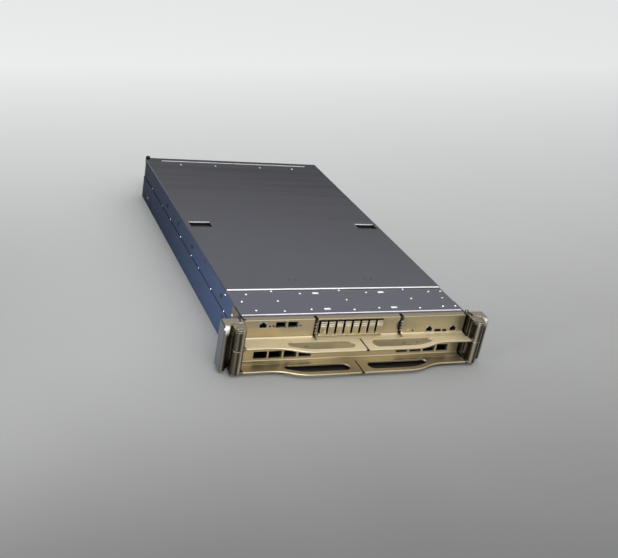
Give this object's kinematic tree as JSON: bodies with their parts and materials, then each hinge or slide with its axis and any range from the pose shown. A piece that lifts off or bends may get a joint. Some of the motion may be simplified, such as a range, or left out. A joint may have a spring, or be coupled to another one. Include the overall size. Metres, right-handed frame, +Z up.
{
  "type": "gpu server",
  "caption": "Two-unit rack GPU server tray with sliding lid, port and drive fascia, and hinged pull levers across its front.",
  "frame": {"origin": "on the underside, on the middle line, in the plane of the rack posts (the ears' back faces)", "axes": "+X right seen from the front, +Y to the rear, +Z up"},
  "size_m": [0.4826, 0.812, 0.092],
  "materials": {
    "galvanised_steel": "satin",
    "lid_steel": "brushed",
    "rivet_steel": "polished",
    "champagne_aluminium": "brushed, anodised",
    "bronze_aluminium": "brushed, anodised",
    "pin_steel": "turned",
    "port_nickel": "plated",
    "black_plastic": "moulded",
    "board_laminate": "solder mask",
    "chip_metal": "plated",
    "copper": "machined",
    "black_rubber": "moulded",
    "light_pipe": "clear, unlit"
  },
  "bodies": {
    "chassis": {"chassis_tray": "galvanised_steel", "rear_panel": "galvanised_steel", "front_cover": "lid_steel", "chassis_rivets": "rivet_steel", "ear_left": "bronze_aluminium", "ear_right": "bronze_aluminium", "lever_pins": "pin_steel", "io_panel_left": "champagne_aluminium", "io_panel_right": "champagne_aluminium", "drive_panel": "champagne_aluminium", "network_panel": "champagne_aluminium", "network_jacks": "port_nickel", "upper_cages": "port_nickel", "network_cage_left": "port_nickel", "network_cage_right": "port_nickel", "service_ports": "port_nickel", "indicator_lights": "light_pipe", "mid_deck": "galvanised_steel", "front_skid": "black_plastic", "drive_cage": "galvanised_steel", "network_boards": "board_laminate", "main_board": "board_laminate", "processor_packages": "chip_metal", "cold_plates": "copper", "coolant_manifold": "copper", "coolant_couplings": "pin_steel", "fan_frames": "black_plastic", "power_clip": "black_plastic", "rear_connectors": "black_plastic"},
    "lid": {"top_lid": "lid_steel", "lid_rivets": "rivet_steel", "rear_gasket": "black_rubber", "corner_bumper": "black_rubber"},
    "upper_left_lever": {"upper_left_lever": "champagne_aluminium"},
    "upper_right_lever": {"upper_right_lever": "champagne_aluminium"},
    "lower_left_lever": {"lower_left_lever": "champagne_aluminium"},
    "lower_right_lever": {"lower_right_lever": "champagne_aluminium"},
    "drive_1": {"drive_1": "champagne_aluminium"},
    "drive_latch_1": {"drive_latch_1": "champagne_aluminium"},
    "drive_2": {"drive_2": "champagne_aluminium"},
    "drive_latch_2": {"drive_latch_2": "champagne_aluminium"},
    "drive_3": {"drive_3": "champagne_aluminium"},
    "drive_latch_3": {"drive_latch_3": "champagne_aluminium"},
    "drive_4": {"drive_4": "champagne_aluminium"},
    "drive_latch_4": {"drive_latch_4": "champagne_aluminium"},
    "drive_5": {"drive_5": "champagne_aluminium"},
    "drive_latch_5": {"drive_latch_5": "champagne_aluminium"},
    "drive_6": {"drive_6": "champagne_aluminium"},
    "drive_latch_6": {"drive_latch_6": "champagne_aluminium"},
    "drive_7": {"drive_7": "champagne_aluminium"},
    "drive_latch_7": {"drive_latch_7": "champagne_aluminium"},
    "drive_8": {"drive_8": "champagne_aluminium"},
    "drive_latch_8": {"drive_latch_8": "champagne_aluminium"},
    "module_latch_left": {"module_latch_left": "pin_steel"},
    "module_latch_right": {"module_latch_right": "pin_steel"},
    "power_button": {"power_button": "black_plastic"},
    "fan_rotor_1": {"fan_rotor_1": "black_plastic"},
    "fan_rotor_2": {"fan_rotor_2": "black_plastic"},
    "fan_rotor_3": {"fan_rotor_3": "black_plastic"},
    "fan_rotor_4": {"fan_rotor_4": "black_plastic"}
  },
  "joints": [
    {"name": "lid_slide", "type": "slide", "parent": "chassis", "child": "lid", "axis": [0, 1, 0], "range_m": [0, 0.02]},
    {"name": "upper_left_lever_swing", "type": "hinge", "parent": "chassis", "child": "upper_left_lever", "pos_m": [-0.217, -0.031, 0.045], "axis": [0, 0, -1], "range_deg": [0, 75]},
    {"name": "upper_right_lever_swing", "type": "hinge", "parent": "chassis", "child": "upper_right_lever", "pos_m": [0.217, -0.031, 0.045], "axis": [0, 0, 1], "range_deg": [0, 75]},
    {"name": "lower_left_lever_swing", "type": "hinge", "parent": "chassis", "child": "lower_left_lever", "pos_m": [-0.217, -0.031, 0.045], "axis": [0, 0, -1], "range_deg": [0, 75]},
    {"name": "lower_right_lever_swing", "type": "hinge", "parent": "chassis", "child": "lower_right_lever", "pos_m": [0.217, -0.031, 0.045], "axis": [0, 0, 1], "range_deg": [0, 75]},
    {"name": "drive_1_slide", "type": "slide", "parent": "chassis", "child": "drive_1", "axis": [0, -1, 0], "range_m": [0, 0.11]},
    {"name": "drive_latch_1_swing", "type": "hinge", "parent": "drive_1", "child": "drive_latch_1", "pos_m": [-0.06575, -0.0091, 0.0562], "axis": [1, 0, 0], "range_deg": [0, 65]},
    {"name": "drive_2_slide", "type": "slide", "parent": "chassis", "child": "drive_2", "axis": [0, -1, 0], "range_m": [0, 0.11]},
    {"name": "drive_latch_2_swing", "type": "hinge", "parent": "drive_2", "child": "drive_latch_2", "pos_m": [-0.05101, -0.0091, 0.0562], "axis": [1, 0, 0], "range_deg": [0, 65]},
    {"name": "drive_3_slide", "type": "slide", "parent": "chassis", "child": "drive_3", "axis": [0, -1, 0], "range_m": [0, 0.11]},
    {"name": "drive_latch_3_swing", "type": "hinge", "parent": "drive_3", "child": "drive_latch_3", "pos_m": [-0.03627, -0.0091, 0.0562], "axis": [1, 0, 0], "range_deg": [0, 65]},
    {"name": "drive_4_slide", "type": "slide", "parent": "chassis", "child": "drive_4", "axis": [0, -1, 0], "range_m": [0, 0.11]},
    {"name": "drive_latch_4_swing", "type": "hinge", "parent": "drive_4", "child": "drive_latch_4", "pos_m": [-0.02153, -0.0091, 0.0562], "axis": [1, 0, 0], "range_deg": [0, 65]},
    {"name": "drive_5_slide", "type": "slide", "parent": "chassis", "child": "drive_5", "axis": [0, -1, 0], "range_m": [0, 0.11]},
    {"name": "drive_latch_5_swing", "type": "hinge", "parent": "drive_5", "child": "drive_latch_5", "pos_m": [-0.00679, -0.0091, 0.0562], "axis": [1, 0, 0], "range_deg": [0, 65]},
    {"name": "drive_6_slide", "type": "slide", "parent": "chassis", "child": "drive_6", "axis": [0, -1, 0], "range_m": [0, 0.11]},
    {"name": "drive_latch_6_swing", "type": "hinge", "parent": "drive_6", "child": "drive_latch_6", "pos_m": [0.00795, -0.0091, 0.0562], "axis": [1, 0, 0], "range_deg": [0, 65]},
    {"name": "drive_7_slide", "type": "slide", "parent": "chassis", "child": "drive_7", "axis": [0, -1, 0], "range_m": [0, 0.11]},
    {"name": "drive_latch_7_swing", "type": "hinge", "parent": "drive_7", "child": "drive_latch_7", "pos_m": [0.02269, -0.0091, 0.0562], "axis": [1, 0, 0], "range_deg": [0, 65]},
    {"name": "drive_8_slide", "type": "slide", "parent": "chassis", "child": "drive_8", "axis": [0, -1, 0], "range_m": [0, 0.11]},
    {"name": "drive_latch_8_swing", "type": "hinge", "parent": "drive_8", "child": "drive_latch_8", "pos_m": [0.03743, -0.0091, 0.0562], "axis": [1, 0, 0], "range_deg": [0, 65]},
    {"name": "module_latch_left_swing", "type": "hinge", "parent": "chassis", "child": "module_latch_left", "pos_m": [-0.07875, 0.001, 0.057], "axis": [1, 0, 0], "range_deg": [0, 55]},
    {"name": "module_latch_right_swing", "type": "hinge", "parent": "chassis", "child": "module_latch_right", "pos_m": [0.07875, 0.001, 0.057], "axis": [1, 0, 0], "range_deg": [0, 55]},
    {"name": "power_button_press", "type": "slide", "parent": "chassis", "child": "power_button", "axis": [0, 1, 0], "range_m": [0, 0.0012], "stiffness_N_per_m": 400},
    {"name": "fan_rotor_1_spin", "type": "hinge", "parent": "chassis", "child": "fan_rotor_1", "pos_m": [-0.126, 0.165, 0.0412], "axis": [0, 1, 0], "continuous": true},
    {"name": "fan_rotor_2_spin", "type": "hinge", "parent": "chassis", "child": "fan_rotor_2", "pos_m": [-0.042, 0.165, 0.0412], "axis": [0, 1, 0], "continuous": true},
    {"name": "fan_rotor_3_spin", "type": "hinge", "parent": "chassis", "child": "fan_rotor_3", "pos_m": [0.042, 0.165, 0.0412], "axis": [0, 1, 0], "continuous": true},
    {"name": "fan_rotor_4_spin", "type": "hinge", "parent": "chassis", "child": "fan_rotor_4", "pos_m": [0.126, 0.165, 0.0412], "axis": [0, 1, 0], "continuous": true}
  ]
}
